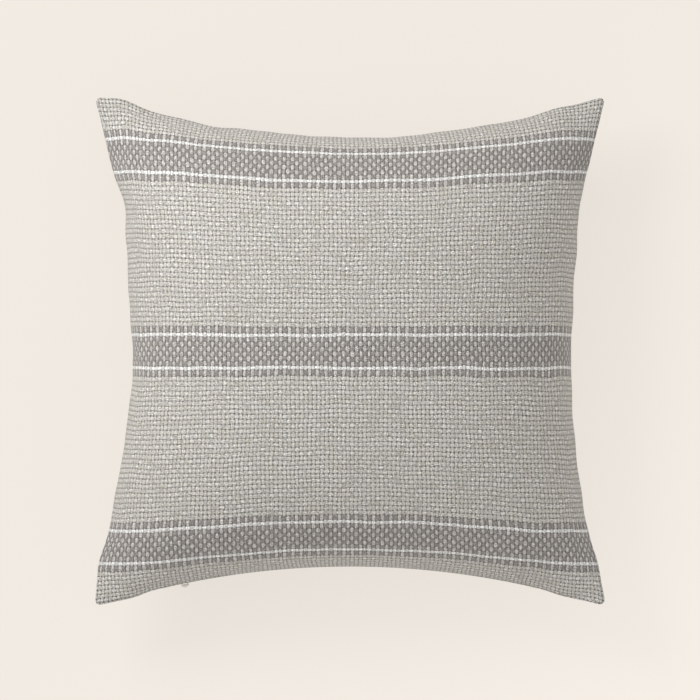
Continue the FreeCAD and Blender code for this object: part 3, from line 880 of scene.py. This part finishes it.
fibre = {
    "cells": 56,
    "gaps": (0.019, 0.041, 0.0034, 0.0003),
    "floor": 0.0024,
    "lumps": 0.0012,
    "lumpScales": (30, 75),
}


def fillPoint(u, v, up):
    point = layerPoint(u, v, up, fibre["gaps"], fibre["floor"])
    if isRim(u, v):
        return point - Vector((0, 0, up * fibre["gaps"][3]))
    broad, fine = (noise.noise(point * scale) for scale in fibre["lumpScales"])
    outward = Vector((point.x, point.y, (point.z - pillow["seamLevel"]) * 1.5)).normalized()
    return point - outward * fibre["lumps"] * (1 + broad + 0.5 * fine)


# the front and back faces at a corner share three points, so each gets one of its own in the middle
fillForm = buildClosedForm(fibre["cells"], fillPoint)
cornerFaces = [face for face in fillForm.faces if any(len(vert.link_faces) == 2 for vert in face.verts)]
bmesh.ops.poke(fillForm, faces=cornerFaces)
fill = linkMesh("insert_fibre", fillForm, materials["fill"], "fill")
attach(fill, "pillow")
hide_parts("insert_fill")
print("fill ready")

stitching = {
    "radius": 0.0002,
    "pitch": 0.005,
    "length": 0.004,
    "depth": 0.0026,
    "height": 0.0012,
    "reach": 0.72,
    "offZipper": 0.012,
}


def buildSeamThread():
    # short rods of thread along the seam's allowances, on both sides of the cloth, clear of the zipper
    s = stitching
    bm = bmesh.new()
    for side in range(4):
        count = int(2 * pillow["halfWidth"] * s["reach"] / s["pitch"])
        for step in range(count + 1):
            along = s["reach"] * (2 * step / count - 1)
            u, v = ((along, 1), (along, -1), (1, along), (-1, along))[side]
            if v == -1 and abs(along) * pillow["halfWidth"] < zipper["openingEnd"] + s["offZipper"]:
                continue
            point, inward = rimFrame(u, v, noGaps)
            turn = Vector((-inward.y, inward.x, 0)).to_track_quat("Z", "Y").to_matrix().to_4x4()
            for up in (1, -1):
                place = point + inward * s["depth"] + Vector((0, 0, up * s["height"]))
                bmesh.ops.create_cone(
                    bm,
                    cap_ends=True,
                    segments=6,
                    radius1=s["radius"],
                    radius2=s["radius"],
                    depth=s["length"],
                    matrix=Matrix.Translation(place) @ turn,
                )
    obj = linkMesh("cover_seam_thread", bm, materials["thread"], "thread")
    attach(obj, "pillow")
    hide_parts("cover_seam_stitches")


labels = {
    "cover_tag": {
        "node": "cover_care_label",
        "side": -1,
        "middle": -0.09,
        "gaps": (0.0113, 0.0263, 0.0011, 0.0003),
    },
    "insert_tag": {
        "node": "insert_care_label",
        "side": 1,
        "middle": 0.06,
        "gaps": (0.0116, 0.0266, 0.0012, 0.0003),
    },
}
tagSize = {"reach": 0.075, "halfWidth": 0.015, "thickness": 0.00025, "lift": 0.0001}


def buildLabel(name, node, side, middle, gaps):
    # a blank tag that leaves a side seam and lies on the casing
    bm = bmesh.new()
    made = bmesh.ops.create_grid(bm, x_segments=14, y_segments=12, size=1.0)["verts"]
    for vert in made:
        u = side * (1 - tagSize["reach"] * (1 - vert.co.x))
        v = (middle + vert.co.y * tagSize["halfWidth"]) / pillow["halfHeight"]
        vert.co = layerPoint(u, v, 1, gaps) + Vector((0, 0, tagSize["lift"]))
    if side < 0:
        bmesh.ops.reverse_faces(bm, faces=bm.faces[:])
    obj = linkMesh(name, bm, materials["label"], "label")
    wall = obj.modifiers.new("Thickness", "SOLIDIFY")
    wall.thickness, wall.offset = tagSize["thickness"], 1.0
    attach(obj, "pillow")
    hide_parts(node)


buildSeamThread()
for name, values in labels.items():
    buildLabel(name, **values)
print("thread and labels ready")

finishes = {
    "zipper_front_tape": "tape",
    "zipper_back_tape": "tape",
    "zipper_front_coil": "coil",
    "zipper_back_coil": "coil",
    "zipper_slider": "metal",
    "zipper_pull": "metal",
    "zipper_top_stops": "metal",
    "zipper_bottom_stop": "metal",
    "zipper_front_stitches": "thread",
    "zipper_back_stitches": "thread",
    "zipper_bartacks": "thread",
    "insert_seam_stitches": "casingThread",
    "insert_closing_stitches": "casingThread",
}
for node, finish in finishes.items():
    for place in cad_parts[node].material_slots:
        place.material = materials[finish]
print("zipper and insert stitches finished")

studio = {
    "floor": (0.215, 0.202, 0.187),
    "paintedGlowNear": (0.598, 0.561, 0.519),  # painted light: a white table that glows by itself, its far side from the key a little brighter to even out the key's falloff
    "paintedGlowFar": (0.735, 0.689, 0.638),
    "sky": (1.0, 0.985, 0.965),
    "skyStrength": 0.75,
    "keyPlace": (-0.62, 0.54, 0.88),
    "keyPower": 7.3,
    "keySize": 0.6,
    "lens": 300.0,
    "frameWidth": 0.6085,
    "centre": (0.0, 0.0012),
    "sensor": 36.0,
}


def buildStudio():
    s = studio
    material, g, shader = newMaterial("studioFloor", roughness=1.0)
    place = g.objectPlace()
    tint = tuple(c * 0.99 for c in s["floor"])
    g.put(shader["Base Color"], g.blend(g.noise(place, 3.0), s["floor"], tint))
    shader["Specular IOR Level"].default_value = 0.0
    x, y, _ = g.split(place)
    # painted light: the floor's own emission, stronger away from the key, evens out the key's light and
    # lightens the pillow's shadow on it
    away = g.ramp(g.math("SUBTRACT", x, y), -0.6, 0.6)
    g.put(shader["Emission Color"], g.blend(away, s["paintedGlowNear"], s["paintedGlowFar"]))
    shader["Emission Strength"].default_value = 1.0
    bm = bmesh.new()
    bmesh.ops.create_grid(bm, x_segments=2, y_segments=2, size=14.0)
    floor = linkMesh("floor", bm, material, None)
    world = bpy.data.worlds.new("studio")
    view.world = world
    world.use_nodes = True
    sky = world.node_tree.nodes["Background"].inputs
    sky["Color"].default_value = (*s["sky"], 1.0)
    sky["Strength"].default_value = s["skyStrength"]
    light = bpy.data.lights.new("key", "AREA")
    light.shape, light.size, light.energy = "DISK", s["keySize"], s["keyPower"]
    key = bpy.data.objects.new("key", light)
    key.location = s["keyPlace"]
    aim = Vector(s["keyPlace"]) - Vector((0, 0, pillow["seamLevel"]))
    key.rotation_euler = aim.to_track_quat("Z", "Y").to_euler()
    bpy.context.collection.objects.link(key)
    lens = bpy.data.cameras.new("camera")
    lens.lens, lens.sensor_width = s["lens"], s["sensor"]
    lens.clip_start, lens.clip_end = 0.1, 60.0
    camera = bpy.data.objects.new("camera", lens)
    distance = s["frameWidth"] * s["lens"] / s["sensor"]
    camera.location = (*s["centre"], pillow["seamLevel"] + distance)
    bpy.context.collection.objects.link(camera)
    view.camera = camera
    view.view_settings.view_transform = "Standard"


buildStudio()
print("studio ready")
